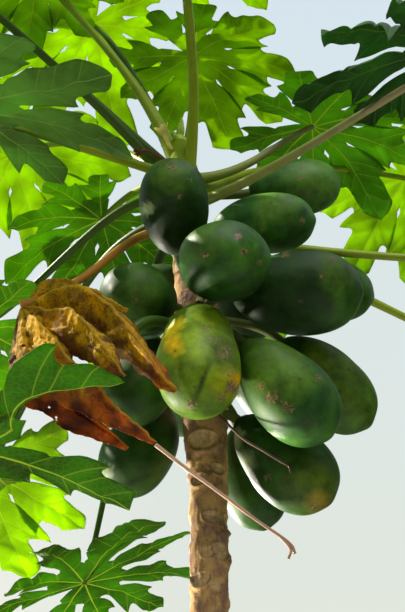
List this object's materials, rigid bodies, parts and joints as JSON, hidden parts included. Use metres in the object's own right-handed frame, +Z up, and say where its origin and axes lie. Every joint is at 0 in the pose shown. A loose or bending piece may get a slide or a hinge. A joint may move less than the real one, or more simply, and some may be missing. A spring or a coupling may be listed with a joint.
{
  "type": "papaya tree",
  "caption": "Fruiting papaya tree with one slender leaning trunk, a cluster of heavy green fruit under the crown, long-stalked lobed leaves, a dead leaf and dry stalks.",
  "frame": {"origin": "centre of the flat cut under the trunk, at ground level", "axes": "+Z up along the plant's height, -Y towards the viewer of the picture, +X to the viewer's right"},
  "size_m": [1.9571, 1.7927, 4.0279],
  "materials": {
    "bark": "grey-brown bark with leaf scars",
    "fruit": "waxy green rind",
    "leaf": "thin green leaf, light comes through",
    "young_leaf": "young light green leaf",
    "dead_leaf": "dry crumpled leaf",
    "dry_stalk": "dry fibrous stalk",
    "flower": "waxy cream petals"
  },
  "bodies": {
    "root": {"trunk": "bark", "fruit_01": "fruit", "fruit_02": "fruit", "fruit_03": "fruit", "fruit_04": "fruit", "fruit_05": "fruit", "fruit_06": "fruit", "fruit_07": "fruit", "fruit_08": "fruit", "fruit_09": "fruit", "fruit_10": "fruit", "fruit_11": "fruit", "fruit_12": "fruit", "fruit_13": "fruit", "fruit_14": "fruit", "fruit_15": "fruit", "fruit_16": "fruit", "fruit_17": "fruit", "fruit_18": "fruit", "fruit_19": "fruit", "leaf_01": "leaf", "leaf_02": "leaf", "leaf_03": "leaf", "leaf_04": "leaf", "leaf_05": "leaf", "leaf_06": "leaf", "leaf_07": "leaf", "leaf_08": "leaf", "leaf_09": "leaf", "leaf_10": "leaf", "leaf_11": "leaf", "leaf_12": "leaf", "leaf_13": "leaf", "leaf_14": "leaf", "leaf_15": "leaf", "leaf_16": "leaf", "leaf_17": "leaf", "leaf_18": "leaf", "leaf_19": "leaf", "leaf_20": "leaf", "leaf_21": "leaf", "leaf_22": "leaf", "dead_leaf": "dead_leaf", "dry_stalk_long": "dry_stalk", "dry_stalk_thin": "dry_stalk", "growing_tip": "young_leaf", "open_flower": "flower", "withered_flower": "dead_leaf"}
  },
  "joints": []
}
